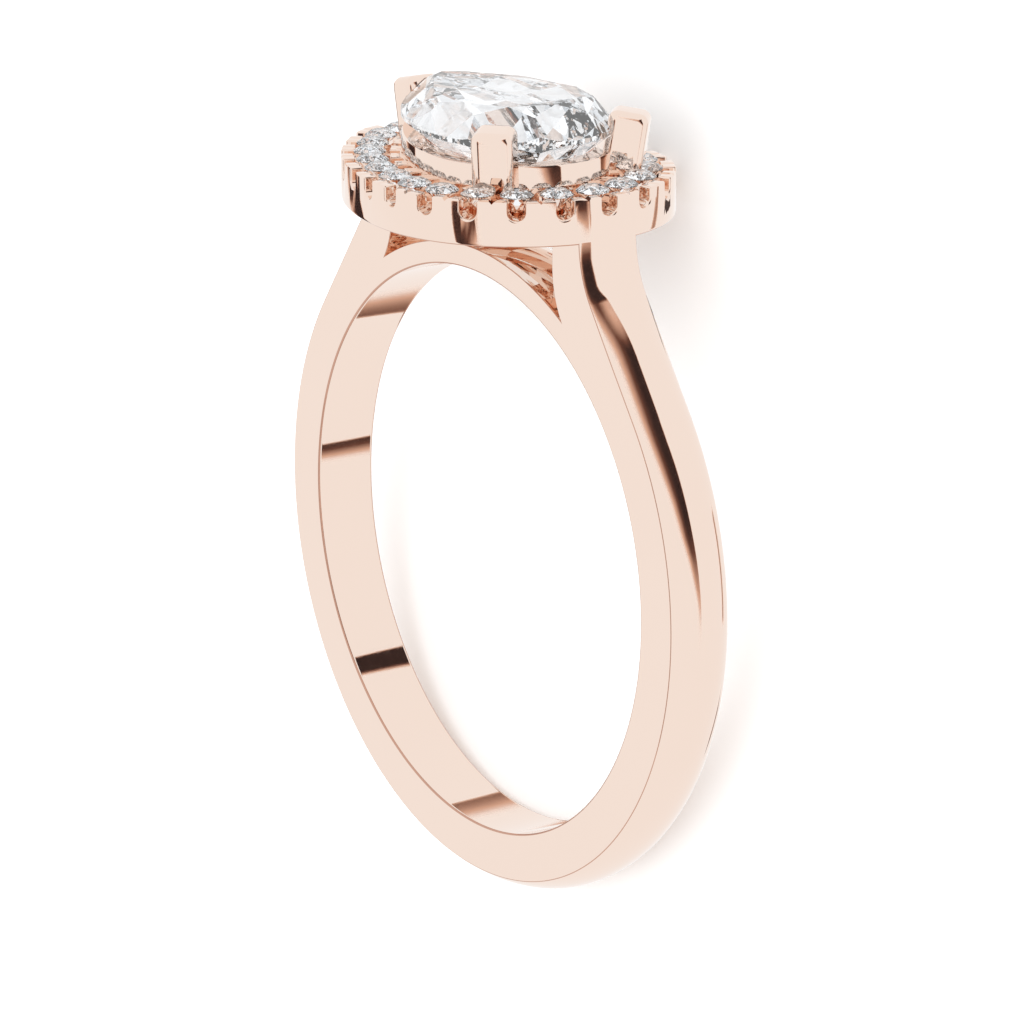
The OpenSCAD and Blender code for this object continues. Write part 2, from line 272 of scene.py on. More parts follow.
def pear_ring(bm, off, z):
    """Closed loop of edges round the pear, moved out by off, at the height z."""
    before = set(bm.edges)
    end = math.pi - TIP_HALF
    sharp = STONE_TIP + off < 0.005
    if sharp:
        end = math.pi - math.asin(FLANK_C / (FLANK_R + off))
    for side in (1, -1):
        v = bm.verts.new((HEAD_X + ROUND_R + off, 0, z))
        v = path_arc(bm, v, (HEAD_X, 0, z), (0, 0, side), 90, 44)
        v = path_arc(bm, v, (HEAD_X, -side * FLANK_C, z), (0, 0, side),
                     math.degrees(end) - 90, 32)
        centre = v.co.copy() if sharp else (HEAD_X - TIP_C, 0, z)
        v = path_arc(bm, v, centre, (0, 0, side), math.degrees(TIP_HALF), 14)
    ends = [v for v in bm.verts if len(v.link_edges) == 1]
    bmesh.ops.remove_doubles(bm, verts=ends, dist=2e-3)
    return [e for e in bm.edges if e not in before]


def pear_loft(profile, closed=True):
    """Solid whose outline is the pear; profile lists how far out and how high each ring is."""
    bm = bmesh.new()
    rings = [pear_ring(bm, off, z) for off, z in profile]
    pairs = list(zip(rings, rings[1:]))
    if closed:
        pairs.append((rings[-1], rings[0]))
    for low, high in pairs:
        bmesh.ops.bridge_loops(bm, edges=[e for e in low + high if e.is_valid])
    if not closed:
        bmesh.ops.contextual_create(bm, geom=[e for e in rings[0] if e.is_valid])
        bmesh.ops.contextual_create(bm, geom=[e for e in rings[-1] if e.is_valid])
    bmesh.ops.remove_doubles(bm, verts=bm.verts[:], dist=1e-4)
    bmesh.ops.dissolve_degenerate(bm, edges=bm.edges[:], dist=1e-5)
    bmesh.ops.recalc_face_normals(bm, faces=bm.faces[:])
    return bm


# Finishes
def new_group(name, inputs, outputs):
    group = bpy.data.node_groups.new(name, 'ShaderNodeTree')
    for label, kind, value in inputs:
        socket = group.interface.new_socket(label, in_out='INPUT', socket_type=kind)
        if value is not None:
            socket.default_value = value
    for label, kind in outputs:
        group.interface.new_socket(label, in_out='OUTPUT', socket_type=kind)
    return group, group.nodes.new('NodeGroupInput'), group.nodes.new('NodeGroupOutput')


def polish_group():
    """Fine polishing marks and the faint unevenness that a buffed surface keeps."""
    group, gin, gout = new_group(
        "polish_marks",
        [("Vector", 'NodeSocketVector', None), ("Mark Scale", 'NodeSocketFloat', 9000.0),
         ("Low Roughness", 'NodeSocketFloat', 0.02), ("High Roughness", 'NodeSocketFloat', 0.06),
         ("Colour", 'NodeSocketColor', (0.9, 0.75, 0.65, 1)), ("Warmth", 'NodeSocketFloat', 0.03)],
        [("Roughness", 'NodeSocketFloat'), ("Height", 'NodeSocketFloat'),
         ("Colour", 'NodeSocketColor')])
    nodes, links = group.nodes, group.links
    marks = nodes.new('ShaderNodeTexNoise')
    marks.inputs["Detail"].default_value = 3
    links.new(gin.outputs["Vector"], marks.inputs["Vector"])
    links.new(gin.outputs["Mark Scale"], marks.inputs["Scale"])
    cloud = nodes.new('ShaderNodeTexNoise')
    cloud.inputs["Scale"].default_value = 260
    cloud.inputs["Detail"].default_value = 2
    links.new(gin.outputs["Vector"], cloud.inputs["Vector"])
    spread = nodes.new('ShaderNodeMapRange')
    links.new(marks.outputs["Fac"], spread.inputs["Value"])
    spread.inputs["From Min"].default_value = 0.35
    spread.inputs["From Max"].default_value = 0.7
    links.new(gin.outputs["Low Roughness"], spread.inputs["To Min"])
    links.new(gin.outputs["High Roughness"], spread.inputs["To Max"])
    links.new(spread.outputs["Result"], gout.inputs["Roughness"])
    links.new(marks.outputs["Fac"], gout.inputs["Height"])
    amount = nodes.new('ShaderNodeMath')
    amount.operation = 'MULTIPLY'
    links.new(cloud.outputs["Fac"], amount.inputs[0])
    links.new(gin.outputs["Warmth"], amount.inputs[1])
    tint = nodes.new('ShaderNodeMix')
    tint.data_type = 'RGBA'
    links.new(amount.outputs["Value"], tint.inputs["Factor"])
    links.new(gin.outputs["Colour"], tint.inputs["A"])
    tint.inputs["B"].default_value = (0.72, 0.42, 0.30, 1)
    links.new(tint.outputs["Result"], gout.inputs["Colour"])
    return group


POLISH = polish_group()


def finish(name, colour, low, high, warmth, bump, mark_scale=9000.0):
    """Material with the polishing marks wired in; its plain sockets are set by the caller."""
    mat = bpy.data.materials.new(name)
    mat.use_nodes = True
    nodes, links = mat.node_tree.nodes, mat.node_tree.links
    shader = nodes["Principled BSDF"]
    place = nodes.new('ShaderNodeTexCoord')
    marks = nodes.new('ShaderNodeGroup')
    marks.node_tree = POLISH
    links.new(place.outputs["Object"], marks.inputs["Vector"])
    marks.inputs["Mark Scale"].default_value = mark_scale
    marks.inputs["Low Roughness"].default_value = low
    marks.inputs["High Roughness"].default_value = high
    marks.inputs["Colour"].default_value = (*colour, 1)
    marks.inputs["Warmth"].default_value = warmth
    if warmth:
        links.new(marks.outputs["Colour"], shader.inputs["Base Color"])
    else:
        shader.inputs["Base Color"].default_value = (*colour, 1)
    links.new(marks.outputs["Roughness"], shader.inputs["Roughness"])
    if bump:
        relief = nodes.new('ShaderNodeBump')
        relief.inputs["Strength"].default_value = bump
        relief.inputs["Distance"].default_value = 0.000002
        links.new(marks.outputs["Height"], relief.inputs["Height"])
        links.new(relief.outputs["Normal"], shader.inputs["Normal"])
    return mat, shader


rose_gold, shader = finish("rose_gold", (0.905, 0.745, 0.650), 0.015, 0.05, 0.05, 0.04)
shader.inputs["Metallic"].default_value = 1.0

# painted reflection: darker gold on thin rounded edges, painted in place of the brown reflections
# along them
painted_edge_reflection, shader = finish("rose_gold_painted_reflection", (0.60, 0.36, 0.27), 0.04, 0.09, 0.05, 0.04)
shader.inputs["Metallic"].default_value = 1.0

clear_stone, shader = finish("clear_stone", (0.985, 0.990, 1.0), 0.0, 0.006, 0.0, 0.0)
shader.inputs["Metallic"].default_value = 0.0
shader.inputs["Transmission Weight"].default_value = 1.0
shader.inputs["IOR"].default_value = 2.42

small_stone, shader = finish("small_stone", (0.985, 0.990, 1.0), 0.0, 0.008, 0.0, 0.0)
shader.inputs["Metallic"].default_value = 0.0
shader.inputs["Transmission Weight"].default_value = 1.0
shader.inputs["IOR"].default_value = 2.42


# bright metal on the stones' undersides, in place of clear facets, which keeps them white
stone_back, shader = finish("stone_back", (0.93, 0.94, 0.95), 0.0, 0.006, 0.0, 0.0)
shader.inputs["Metallic"].default_value = 1.0


# Band, arms and bridge
def crown(y):
    return math.sqrt(CROWN_R ** 2 - y * y) - (CROWN_R - CROWN_RISE)


def bridge_dome(y):
    return math.sqrt(BRIDGE_DOME ** 2 - y * y) - (BRIDGE_DOME - BRIDGE_RISE)


def make_shank():
    """One side of the ring is drawn as a flat outline, mirrored, given its width, and its
    outer and upper walls are then crowned."""
    bm = bmesh.new()
    low = -BAND_W / 2
    turn = (TURN_X, low, TURN_Z)
    inner = (ARM_IN + ARM_IN_TURN, low, IN_Z)
    far = math.hypot(inner[0], inner[2])
    # where the arm's inner turn meets the bridge
    along = (BRIDGE_R ** 2 - ARM_IN_TURN ** 2 + far ** 2) / (2 * far)
    aside = math.sqrt(BRIDGE_R ** 2 - along ** 2)
    ux, uz = inner[0] / far, inner[2] / far
    crotch = (along * ux - aside * uz, along * uz + aside * ux)
    start = bm.verts.new((0, low, -FACE_R))
    v = path_arc(bm, start, (0, low, 0), (0, -1, 0), 180 - ARM_LEAVE, 150)
    for _ in range(10):
        v = path_line(bm, v, (-math.sin(SLOPE) * ARM_RUN / 10, 0, math.cos(SLOPE) * ARM_RUN / 10))
    v = path_arc(bm, v, turn, (0, 1, 0), math.degrees(SLOPE), 40)
    v = path_line(bm, v, (0, 0, (HALO_MID - TURN_Z) / 2))
    v = path_line(bm, v, (0, 0, HALO_MID - v.co.z))
    v = path_line(bm, v, (-ARM_T, 0, 0))
    v = path_line(bm, v, (0, 0, IN_Z - HALO_MID))
    fall = math.degrees(math.atan2(inner[2] - crotch[1], inner[0] - crotch[0]))
    v = path_arc(bm, v, inner, (0, -1, 0), fall, 24)
    lean = math.degrees(math.atan2(v.co.x, v.co.z))
    v = path_arc(bm, v, (0, low, 0), (0, -1, 0), lean, 36)
    v = path_line(bm, v, (0, 0, HOLE_R - BRIDGE_R))
    v = path_arc(bm, v, (0, low, 0), (0, 1, 0), 180, 180)
    bm.edges.new((v, start))
    bmesh.ops.contextual_create(bm, geom=bm.edges[:])
    bmesh.ops.mirror(bm, geom=bm.verts[:] + bm.edges[:] + bm.faces[:], axis='X',
                     merge_dist=1e-4)
    bmesh.ops.remove_doubles(bm, verts=bm.verts[:], dist=1e-4)
    bmesh.ops.recalc_face_normals(bm, faces=bm.faces[:])
    grown = bmesh.ops.extrude_face_region(bm, geom=bm.faces[:])
    bmesh.ops.translate(bm, vec=(0, BAND_W, 0),
                        verts=[g for g in grown["geom"] if isinstance(g, bmesh.types.BMVert)])
    bmesh.ops.recalc_face_normals(bm, faces=bm.faces[:])
    across = [e for e in bm.edges if abs(e.verts[0].co.y - e.verts[1].co.y) > BAND_W / 2]
    bmesh.ops.subdivide_edges(bm, edges=across, cuts=19, use_grid_fill=True)
    wall = HALO_R - 0.01
    for v in bm.verts:
        x, z, y = abs(v.co.x), v.co.z, v.co.y
        side = 1 if v.co.x >= 0 else -1
        r = math.hypot(x, z)
        angle = math.degrees(math.atan2(x, z))
        rise, nx, nz = 0.0, 0.0, 0.0
        if abs(r - FACE_R) < 2e-3 and angle > ARM_LEAVE - 0.02:
            rise, nx, nz = crown(y), x / r, z / r
        elif abs(r - BRIDGE_R) < 2e-3 and angle < lean + 0.02:
            rise, nx, nz = bridge_dome(y), x / r, z / r
        elif abs(math.hypot(x - TURN_X, z - TURN_Z) - ARM_TURN) < 2e-3 and z < TURN_Z + 0.01:
            rise, nx, nz = crown(y), (TURN_X - x) / ARM_TURN, (TURN_Z - z) / ARM_TURN
        elif abs(x - ARM_OUT) < 2e-3 and z > TURN_Z:
            rise, nx, nz = crown(y), 1.0, 0.0
        elif r > FACE_R and z < TURN_Z and abs(
                (x - FACE_R * math.sin(LEAVE)) * math.cos(SLOPE)
                + (z - FACE_R * math.cos(LEAVE)) * math.sin(SLOPE)) < 2e-3:
            rise, nx, nz = crown(y), math.cos(SLOPE), math.sin(SLOPE)
        if nx or nz:
            melt = 0.0
            if side > 0 and r > FACE_R:
                melt = min(max((z - MELT_Z) / (HALO_Z - MELT_Z), 0.0), 1.0)
                melt = melt * melt * (3 - 2 * melt)
            into = HEAD_X + math.sqrt(wall ** 2 - y * y) - ARM_OUT
            x += nx * rise * (1 - melt) + into * melt
            z += nz * rise * (1 - melt)
            v.co.x, v.co.z = side * x, z
    rims = [e for e in bm.edges
            if abs(abs(e.verts[0].co.y) - BAND_W / 2) < 1e-4
            and abs(abs(e.verts[1].co.y) - BAND_W / 2) < 1e-4
            and len(e.link_faces) == 2 and e.calc_face_angle(0) > 0.3]
    bore = [e for e in rims
            if all(abs(math.hypot(v.co.x, v.co.z) - HOLE_R) < 1e-3 for v in e.verts)]
    others = [e for e in rims if e not in set(bore)]
    soft = bmesh.ops.bevel(bm, geom=bore, offset=RIM_BEVEL, offset_type='OFFSET',
                           affect='EDGES', segments=3, profile=0.5, material=-1,
                           clamp_overlap=True)["faces"]
    # painted reflection: the rounded bore rims get the darker gold
    for face in soft:
        face.material_index = 1
    others = [e for e in others if e.is_valid]
    soft = bmesh.ops.bevel(bm, geom=others, offset=EDGE_SOFT, offset_type='OFFSET',
                           affect='EDGES', segments=3, profile=0.5, material=-1,
                           clamp_overlap=True)["faces"]
    # painted reflection: the other rounded side edges get the darker gold too
    for face in soft:
        face.material_index = 1
    return lay_down(bm, "shank", rose_gold, line=painted_edge_reflection)


# Halo
def u_cutter():
    """Round-bottomed slot under one small stone, from the collar out through the wall. It
    swells where it leaves the metal, so that its rims come out rounded."""
    bm = bmesh.new()
    r = CUT_W / 2
    floor_z = HALO_TOP - CUT_H + r
    brim = HALO_TOP - BEAD_EASE
    inner, wall = -ROW + 0.03, HALO_OUT - ROW
    start = bm.verts.new((inner, r, floor_z))
    v = path_arc(bm, start, (inner, 0, floor_z), (-1, 0, 0), 180, 22)
    v = path_line(bm, v, (0, 0, brim - floor_z))
    v = path_arc(bm, v, (inner, -r - BEAD_EASE, brim), (1, 0, 0), 90, 4)
    v = path_line(bm, v, (0, 0, 0.4))
    v = path_line(bm, v, (0, 2 * (r + BEAD_EASE), 0))
    v = path_line(bm, v, (0, 0, -0.4))
    v = path_arc(bm, v, (inner, r + BEAD_EASE, brim), (1, 0, 0), 90, 4)
    bm.edges.new((v, start))
    cap = bmesh.ops.contextual_create(bm, geom=bm.edges[:])["faces"][0]
    swollen = 0.0
    steps = [(wall - CUT_EASE, 0.0)]
    for turn in (22.5, 45.0, 67.5, 90.0):
        t = math.radians(turn)
        steps.append((wall - CUT_EASE * (1 - math.sin(t)), CUT_EASE * (1 - math.cos(t))))
    steps.append((wall + 0.25, CUT_EASE))
    for reach, swell in steps:
        grown = bmesh.ops.extrude_face_region(bm, geom=[cap] + list(cap.edges))["geom"]
        cap = [g for g in grown if isinstance(g, bmesh.types.BMFace)][0]
        for v in [g for g in grown if isinstance(g, bmesh.types.BMVert)]:
            out = Vector((0, v.co.y, min(v.co.z - floor_z, 0.0))).normalized()
            v.co += out * (swell - swollen)
            v.co.x = reach
        swollen = swell
    bmesh.ops.recalc_face_normals(bm, faces=bm.faces[:])
    return bm


def notch_cutter():
    """Notches between two small stones, which split the metal there into pairs of beads."""
    bm = bmesh.new()
    for inner, outer, near, far in ((-ROW - 0.25, -ROW + BEAD_IN + 0.1, NOTCH_IN, NOTCH_IN),
                                    (HALO_OUT - ROW - BEAD_OUT - 0.1, HALO_OUT - ROW + 0.15,
                                     NOTCH_OUT, NOTCH_END)):
        bmesh.ops.create_cone(bm, cap_ends=True, segments=4, radius1=near, radius2=far,
                              depth=outer - inner,
                              matrix=Matrix.Translation(((inner + outer) / 2, 0, HALO_TOP))
                              @ Matrix.Rotation(math.pi / 2, 4, 'Y'))
    return bm


def seat_cutter():
    """Seat for one small stone, with the light hole under it."""
    bm = bmesh.new()
    r = SMALL_D / 2 + CLEAR
    low = HALO_TOP - SMALL_HALF_GIRDLE * SMALL_D - SMALL_PAVILION * SMALL_D
    rim = HALO_TOP - SMALL_HALF_GIRDLE * SMALL_D - CLEAR
    deep = HALO_Z - 0.5
    neck = low + (LIGHT_D / 2) / r * (rim - low)
    profile = [(0.0, HALO_TOP + 0.4), (r, HALO_TOP + 0.4), (r, rim), (LIGHT_D / 2, neck),
               (LIGHT_D / 2, deep), (0.0, deep)]
    verts = [bm.verts.new((x, 0, z)) for x, z in profile]
    for a, b in zip(verts, verts[1:]):
        bm.edges.new((a, b))
    bmesh.ops.spin(bm, geom=bm.verts[:] + bm.edges[:], cent=(0, 0, 0), axis=(0, 0, 1),
                   angle=2 * math.pi, steps=32, use_merge=True, use_duplicate=False)
    bmesh.ops.remove_doubles(bm, verts=bm.verts[:], dist=1e-5)
    bmesh.ops.recalc_face_normals(bm, faces=bm.faces[:])
    return bm


def gather(makers, places):
    """Many copies of a cutter as one mesh."""
    mesh = bpy.data.meshes.new("cutters")
    whole = bmesh.new()
    for place in places:
        for maker in makers:
            one = maker()
            bmesh.ops.transform(one, matrix=place, verts=one.verts[:])
            one.to_mesh(mesh)
            one.free()
            whole.from_mesh(mesh)
    bpy.data.meshes.remove(mesh)
    return whole


def make_halo():
    top_in = HALO_OUT - BEAD_OUT
    channel = HALO_TOP - CHANNEL_H
    profile = [(HALO_OUT - 0.10, HALO_Z), (HALO_OUT - 0.05, HALO_Z + 0.013),
               (HALO_OUT - 0.013, HALO_Z + 0.05), (HALO_OUT, HALO_Z + 0.10),
               (HALO_OUT, HALO_TOP - 0.06), (HALO_OUT - 0.018, HALO_TOP - 0.018),
               (HALO_OUT - 0.06, HALO_TOP), (top_in + 0.06, HALO_TOP),
               (top_in + 0.018, HALO_TOP - 0.018), (top_in, HALO_TOP - 0.06),
               (top_in, channel), (BEAD_IN, channel), (BEAD_IN, HALO_TOP - 0.06),
               (BEAD_IN - 0.018, HALO_TOP - 0.018), (BEAD_IN - 0.06, HALO_TOP),
               (0.04, HALO_TOP), (0.0, HALO_TOP - 0.02), (-0.05, HALO_TOP - 0.1),
               (-0.10, HALO_Z)]
    bm = pear_loft(profile)
    places = [stone_place(k) for k in range(1, HALO_STONES + 1)]
    halfway = [stone_place(k + 0.5) for k in range(1, HALO_STONES + 1)]
    bm = carve(bm, gather([u_cutter], places))
    bm = carve(bm, gather([notch_cutter], halfway))
    bm = carve(bm, gather([seat_cutter], places))
    bmesh.ops.remove_doubles(bm, verts=bm.verts[:], dist=1e-4)
    bmesh.ops.dissolve_degenerate(bm, edges=bm.edges[:], dist=1e-4)
    # painted reflection: the halo's rounded lower edge gets the darker gold
    for face in bm.faces:
        if face.calc_center_median().z < HALO_Z + 0.045 and abs(face.normal.z) < 0.97:
            face.material_index = 1
    return lay_down(bm, "halo", rose_gold, sharp=28, line=painted_edge_reflection)


# Collar and claws
def stone_room():
    """Room for the stone in the collar and the claws."""
    g0 = GIRDLE_Z - GIRDLE_T / 2 - CLEAR
    g1 = GIRDLE_Z + GIRDLE_T / 2 + CLEAR
    run = ROUND_R / PAVILION_H
    steep = FLANK_R - math.sqrt(FLANK_C ** 2 + TABLE_SHIFT ** 2)
    slope = (1 - TABLE_SHARE) * steep / CROWN_H
    return pear_loft([(CLEAR - 0.75 * run, g0 - 0.75), (CLEAR, g0), (CLEAR, g1),
                      (CLEAR - 0.8 * slope, g1 + 0.8)], closed=False)


def make_collar():
    bm = pear_loft([(0, HALO_Z), (0, COLLAR_TOP - COLLAR_BEVEL),
                    (-0.022, COLLAR_TOP - 0.022), (-COLLAR_BEVEL, COLLAR_TOP),
                    (-COLLAR_T + 0.03, COLLAR_TOP), (-COLLAR_T, COLLAR_TOP - 0.04),
                    (-COLLAR_T, HALO_Z)])
    bm = carve(bm, stone_room())
    return lay_down(bm, "collar", rose_gold)


def make_claw(name, turn, out, lean):
    """A claw that hangs from the middle of its tip, domed at the top."""
    length = (CLAW_TOP - CLAW_FOOT) / math.cos(math.radians(lean))
    bm = bmesh.new()
    bmesh.ops.create_cube(bm, size=1.0)
    bmesh.ops.scale(bm, vec=(CLAW_T, CLAW_W, length), verts=bm.verts[:])
    bmesh.ops.translate(bm, vec=(0, 0, -length / 2), verts=bm.verts[:])
    upright = [e for e in bm.edges if abs(e.verts[0].co.z - e.verts[1].co.z) > length / 2]
    bmesh.ops.bevel(bm, geom=upright, offset=CLAW_ROUND, offset_type='OFFSET', affect='EDGES',
                    segments=8, profile=0.5, material=-1)
    rim = [e for e in bm.edges if e.verts[0].co.z > -1e-4 and e.verts[1].co.z > -1e-4]
    bmesh.ops.bevel(bm, geom=rim, offset=CLAW_DOME, offset_type='OFFSET', affect='EDGES',
                    segments=8, profile=0.5, material=-1, clamp_overlap=True)
    bmesh.ops.transform(
        bm, verts=bm.verts[:],
        matrix=Matrix.Translation((HEAD_X, 0, CLAW_TOP)) @ Matrix.Rotation(turn, 4, 'Z')
        @ Matrix.Translation((out, 0, 0)) @ Matrix.Rotation(math.radians(lean), 4, 'Y'))
    bm = carve(bm, stone_room())
    return lay_down(bm, name, rose_gold)


# Cut stones
def slice_off(bm, point, normal):
    """Grinds one facet: takes off all that lies beyond a plane, and closes the stone again."""
    cut = bmesh.ops.bisect_plane(bm, geom=bm.verts[:] + bm.edges[:] + bm.faces[:], dist=1e-5,
                                 plane_co=point, plane_no=normal, clear_outer=True)
    rim = [g for g in cut["geom_cut"] if isinstance(g, bmesh.types.BMEdge)
           and len(g.link_faces) == 1]
    if len(rim) > 2:
        bmesh.ops.edgeloop_fill(bm, edges=rim)


def make_centre_stone():
    mains = [math.radians(a) for a in (0, 44, 88, 110, 128)] + [math.pi]
    half_t = GIRDLE_T / 2
    bm = pear_loft([(0, -PAVILION_H - half_t), (0, CROWN_H + half_t)], closed=False)
    bmesh.ops.translate(bm, vec=(-HEAD_X, 0, 0), verts=bm.verts[:])
    table_z = half_t + CROWN_H
    culet = Vector((-0.05 * STONE_L, 0, -half_t - PAVILION_H))

    def inset(a):
        return (1 - TABLE_SHARE) * (pear_support(a) + TABLE_SHIFT * math.cos(a))

    def grind(a, crown_share, pavilion_share):
        n = Vector((math.cos(a), math.sin(a), 0))
        p = pear_point(a, 0)
        if crown_share:
            slice_off(bm, p + Vector((0, 0, half_t)),
                      n * CROWN_H + Vector((0, 0, inset(a) * crown_share)))
        if pavilion_share:
            deep = min((p - culet).dot(n), ROUND_R) * pavilion_share
            slice_off(bm, p - Vector((0, 0, half_t)),
                      n * PAVILION_H - Vector((0, 0, deep)))

    star = math.radians(STAR_TILT)
    full = mains + [-a for a in mains[1:-1]][::-1]
    for a in full:
        grind(a, 1.0, 1.0)
    ring = full + [full[0] + 2 * math.pi]
    for a, b in zip(ring, ring[1:]):
        b = b + 2 * math.pi if b < a else b
        for share in (0.27, 0.73):
            mid = a + (b - a) * share
            mid = mid - 2 * math.pi if mid > math.pi else mid
            grind(mid, 0.80, 0.93)
        ends = []
        for e in (a, b):
            e = e - 2 * math.pi if e > math.pi + 1e-6 else e
            ends.append(pear_point(e, 0) - Vector((math.cos(e), math.sin(e), 0)) * inset(e))
        edge = ends[1] - ends[0]
        out = Vector((edge.y, -edge.x, 0)).normalized()
        slice_off(bm, ends[0] + Vector((0, 0, table_z)),
                  out * math.sin(star) + Vector((0, 0, math.cos(star))))
    # the edge where its bright underside begins
    bmesh.ops.bisect_plane(bm, geom=bm.verts[:] + bm.edges[:] + bm.faces[:], dist=1e-5,
                           plane_co=(0, 0, -BRIGHT_BELOW), plane_no=(0, 0, 1))
    bmesh.ops.recalc_face_normals(bm, faces=bm.faces[:])
    for face in bm.faces:
        if face.normal.z < -0.2 and face.calc_center_median().z < -BRIGHT_BELOW:
            face.material_index = 1
    bmesh.ops.translate(bm, vec=(HEAD_X, 0, GIRDLE_Z), verts=bm.verts[:])
    return lay_down(bm, "pear_stone", clear_stone, sharp=0, line=stone_back)


def small_brilliant():
    """One round brilliant with its table up, its girdle at the height of the halo's top."""
    r = SMALL_D / 2
    half_t = SMALL_HALF_GIRDLE * SMALL_D
    crown_h, pavilion_h = SMALL_CROWN * SMALL_D, SMALL_PAVILION * SMALL_D
    bm = bmesh.new()
    bmesh.ops.create_cone(bm, cap_ends=True, segments=32, radius1=r, radius2=r,
                          depth=crown_h + pavilion_h + 2 * half_t,
                          matrix=Matrix.Translation((0, 0, (crown_h - pavilion_h) / 2)))
    table_r = SMALL_TABLE * r
    star = math.radians(SMALL_STAR_TILT)
    for i in range(8):
        a = i * math.pi / 4
        n = Vector((math.cos(a), math.sin(a), 0))
        slice_off(bm, n * r + Vector((0, 0, half_t)),
                  n * crown_h + Vector((0, 0, r - table_r)))
        slice_off(bm, n * r - Vector((0, 0, half_t)), n * pavilion_h - Vector((0, 0, r)))
    for i in range(8):
        a = (i + 0.5) * math.pi / 4
        n = Vector((math.cos(a), math.sin(a), 0))
        slice_off(bm, n * table_r * math.cos(math.pi / 8) + Vector((0, 0, half_t + crown_h)),
                  n * math.sin(star) + Vector((0, 0, math.cos(star))))
    for i in range(16):
        a = (i + 0.5) * math.pi / 8
        n = Vector((math.cos(a), math.sin(a), 0))
        slice_off(bm, n * r + Vector((0, 0, half_t)),
                  n * crown_h + Vector((0, 0, 0.82 * (r - table_r))))
        slice_off(bm, n * r - Vector((0, 0, half_t)),
                  n * pavilion_h - Vector((0, 0, 0.94 * r)))
    bmesh.ops.translate(bm, vec=(0, 0, HALO_TOP), verts=bm.verts[:])
    return bm


def make_small_stone(k):
    bm = small_brilliant()
    bmesh.ops.recalc_face_normals(bm, faces=bm.faces[:])
    for face in bm.faces:
        if face.normal.z < -0.2:
            face.material_index = 1
    bmesh.ops.transform(bm, matrix=stone_place(k), verts=bm.verts[:])
    return lay_down(bm, "small_stone_%02d" % k, small_stone, sharp=0, line=stone_back)


# Camera, table and light
def standing_to_room(point):
    return (MM @ LAY) @ Vector(point)


def place_camera():
    az, el = math.radians(CAMERA_AZ), math.radians(CAMERA_EL)
    back = Vector((math.sin(az) * math.cos(el), -math.cos(az) * math.cos(el), math.sin(el)))
    right = Vector((math.cos(az), math.sin(az), 0))
    up = back.cross(right)
    eye = Vector(CAMERA_AIM) + back * CAMERA_FAR
    turn = LAY.to_3x3()
    lens = bpy.data.cameras.new("camera")
    lens.lens, lens.sensor_width, lens.sensor_fit = CAMERA_LENS, 36.0, 'HORIZONTAL'
    lens.clip_start, lens.clip_end = 0.002, 20.0
    cam = bpy.data.objects.new("camera", lens)
    axes = Matrix([turn @ right, turn @ up, turn @ back]).transposed().to_4x4()
    cam.matrix_world = Matrix.Translation(standing_to_room(eye)) @ axes
    bpy.context.scene.collection.objects.link(cam)
    bpy.context.scene.camera = cam


def plain_material(name, colour, rough):
    mat, shader = finish(name, colour, rough, rough + 0.08, 0.0, 0.0, 40.0)
    shader.inputs["Metallic"].default_value = 0.0
    return mat


def stage_piece(bm, name, material):
    mesh = bpy.data.meshes.new(name)
    bm.to_mesh(mesh)
    bm.free()
    mesh.materials.append(material)
    piece = bpy.data.objects.new(name, mesh)
    bpy.context.scene.collection.objects.link(piece)
    return piece


def make_table():
    bm = bmesh.new()
    bmesh.ops.create_grid(bm, x_segments=1, y_segments=1, size=1.5)
    table = stage_piece(bm, "table", plain_material("pale_table", (TABLE_TONE,) * 3, 0.7))
    # the polished metal sees the studio's white and its gaps, not the table close under it
    table.visible_glossy = False


def card_material():
    """Warm dark card that is let through where its fade says so."""
    mat, shader = finish("dark_card", (0.05, 0.02, 0.01), 0.8, 0.9, 0.0, 0.0, 40.0)
    nodes, links = mat.node_tree.nodes, mat.node_tree.links
    fade = nodes.new('ShaderNodeAttribute')
    fade.attribute_name = "dark"
    tone = nodes.new('ShaderNodeValToRGB')
    stops = tone.color_ramp.elements
    stops[0].position, stops[0].color = 0.0, (0.78, 0.74, 0.72, 1)
    stops[1].position, stops[1].color = 1.0, (0.02, 0.004, 0.002, 1)
    for place, colour in ((0.45, (0.50, 0.32, 0.24, 1)), (0.8, (0.10, 0.035, 0.02, 1))):
        stop = stops.new(place)
        stop.color = colour
    let = nodes.new('ShaderNodeMath')
    let.operation = 'MULTIPLY'
    let.use_clamp = True
    let.inputs[1].default_value = 3.0
    links.new(fade.outputs["Fac"], tone.inputs["Fac"])
    links.new(tone.outputs["Color"], shader.inputs["Base Color"])
    links.new(fade.outputs["Fac"], let.inputs[0])
    links.new(let.outputs["Value"], shader.inputs["Alpha"])
    return mat


def compass(az, el, far, middle):
    """Point far millimetres from middle, seen from there at az round the ring and el above."""
    az, el = math.radians(az), math.radians(el)
    return (middle[0] + far * math.cos(az) * math.cos(el),
            middle[1] + far * math.sin(az) * math.cos(el), middle[2] + far * math.sin(el))


